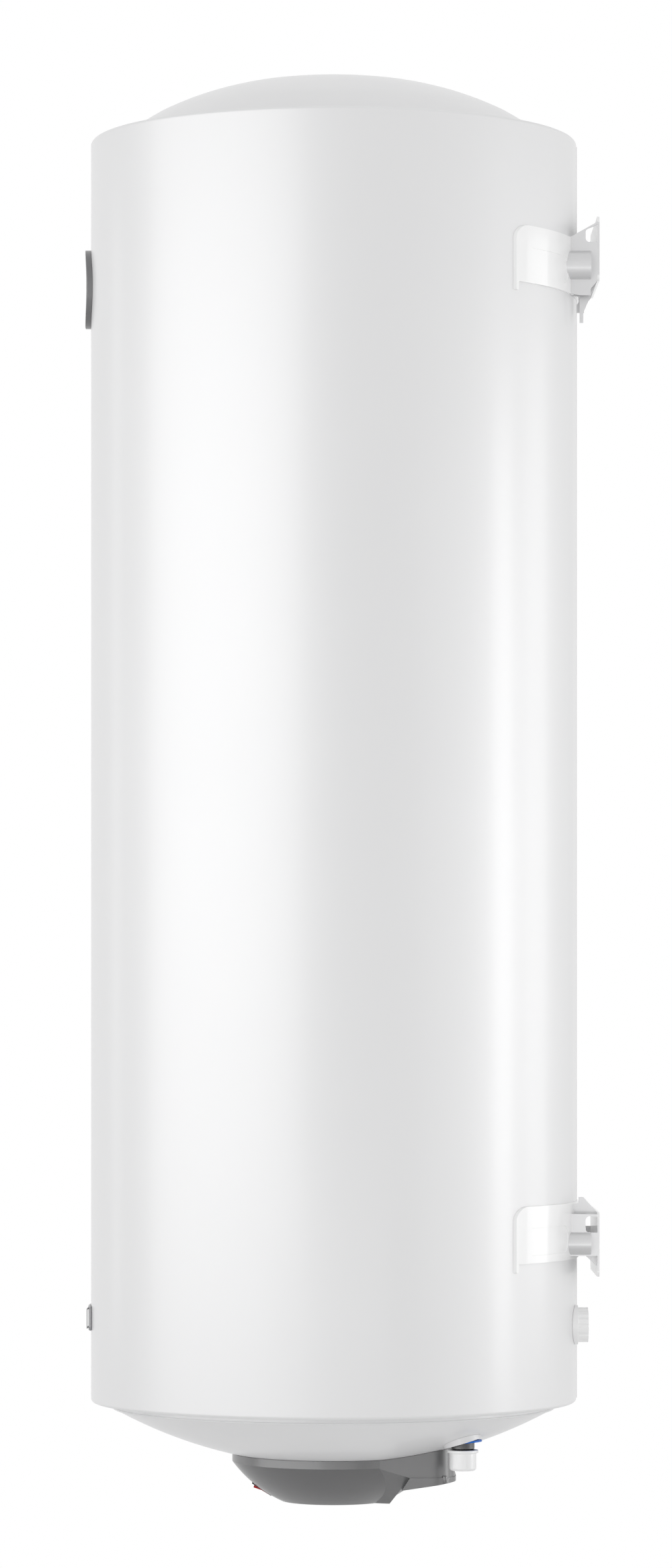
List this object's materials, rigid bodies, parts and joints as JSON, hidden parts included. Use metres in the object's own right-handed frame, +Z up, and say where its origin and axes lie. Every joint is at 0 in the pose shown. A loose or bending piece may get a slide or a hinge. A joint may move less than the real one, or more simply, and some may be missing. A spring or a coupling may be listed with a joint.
{
  "type": "tank water heater",
  "caption": "Tall wall-hung cylindrical electric water heater with domed ends, pressed wall brackets, bottom water stubs and a grey control cover.",
  "frame": {"origin": "on the wall plane, midway between the upper bracket's two anchor slots", "axes": "+Z up along the heater, +Y into the wall, so the front faces -Y and +X is the viewer's right from the front"},
  "size_m": [0.445, 0.4687, 1.3033],
  "materials": {
    "white_enamel": "gloss",
    "white_plastic": "gloss",
    "foam": "matte",
    "tank_steel": "satin",
    "black_rubber": "matte",
    "zinc_steel": "satin",
    "element_sheath": "satin",
    "magnesium": "matte",
    "black_plastic": "matte",
    "red_plastic": "gloss",
    "grey_plastic": "satin",
    "lamp_lens": "gloss",
    "dark_plastic": "matte",
    "ivory_plastic": "satin",
    "dark_pipe": "satin",
    "blue_plastic": "gloss",
    "cap_plastic": "satin",
    "bezel_plastic": "satin",
    "dial_white": "matte",
    "needle_red": "matte",
    "clear_lens": "gloss",
    "plate_grey": "satin",
    "bracket_paint": "satin"
  },
  "bodies": {
    "heater": {"casing": "white_enamel", "top_cap": "white_enamel", "bottom_cap": "white_plastic", "insulation": "foam", "tank_shell": "tank_steel", "tank_top_dome": "tank_steel", "tank_bottom_dome": "tank_steel", "flange_neck": "tank_steel", "flange_gasket": "black_rubber", "access_flange": "zinc_steel", "flange_studs": "zinc_steel", "flange_nuts": "zinc_steel", "heating_element": "element_sheath", "thermowell": "element_sheath", "anode_rod": "magnesium", "thermostat_body": "black_plastic", "thermal_cutout": "black_plastic", "control_cover": "grey_plastic", "cover_posts": "zinc_steel", "cover_screws": "zinc_steel", "switch_frame": "black_plastic", "indicator_lamp": "lamp_lens", "cable_grommet": "black_rubber", "terminal_block": "ivory_plastic", "cold_pipe": "dark_pipe", "hot_pipe": "dark_pipe", "cold_collar": "white_plastic", "hot_collar": "white_plastic", "cold_marker": "blue_plastic", "hot_marker": "red_plastic", "inlet_diffuser": "ivory_plastic", "foam_plug": "cap_plastic", "thermometer_bezel": "bezel_plastic", "thermometer_dial": "dial_white", "thermometer_body": "black_plastic", "thermometer_lens": "clear_lens", "front_plate": "plate_grey", "upper_bracket": "bracket_paint", "lower_bracket": "bracket_paint"},
    "rocker": {"power_rocker": "red_plastic"},
    "knob": {"thermostat_knob": "dark_plastic", "thermostat_shaft": "zinc_steel"},
    "needle": {"thermometer_needle": "needle_red"},
    "cold_cap": {"inlet_cap": "cap_plastic"},
    "hot_cap": {"outlet_cap": "cap_plastic"},
    "reset": {"reset_button": "red_plastic"}
  },
  "joints": [
    {"name": "rocker_tilt", "type": "hinge", "parent": "heater", "child": "rocker", "pos_m": [0, -0.30591, -1.12854], "axis": [-1, 0, 0], "range_deg": [0, 16]},
    {"name": "knob_turn", "type": "hinge", "parent": "heater", "child": "knob", "pos_m": [0, -0.241, -1.1405], "axis": [0, 0, 1], "range_deg": [0, 270]},
    {"name": "needle_turn", "type": "hinge", "parent": "heater", "child": "needle", "pos_m": [0, -0.4635, -0.0294], "axis": [0, -1, 0], "range_deg": [-135, 0]},
    {"name": "inlet_cap_pull", "type": "slide", "parent": "heater", "child": "cold_cap", "axis": [0, 0, -1], "range_m": [0, 0.03]},
    {"name": "outlet_cap_pull", "type": "slide", "parent": "heater", "child": "hot_cap", "axis": [0, 0, -1], "range_m": [0, 0.03]},
    {"name": "reset_press", "type": "slide", "parent": "heater", "child": "reset", "axis": [0, 0, 1], "range_m": [0, 0.0015], "stiffness_N_per_m": 300, "springref_m": -0.002}
  ]
}
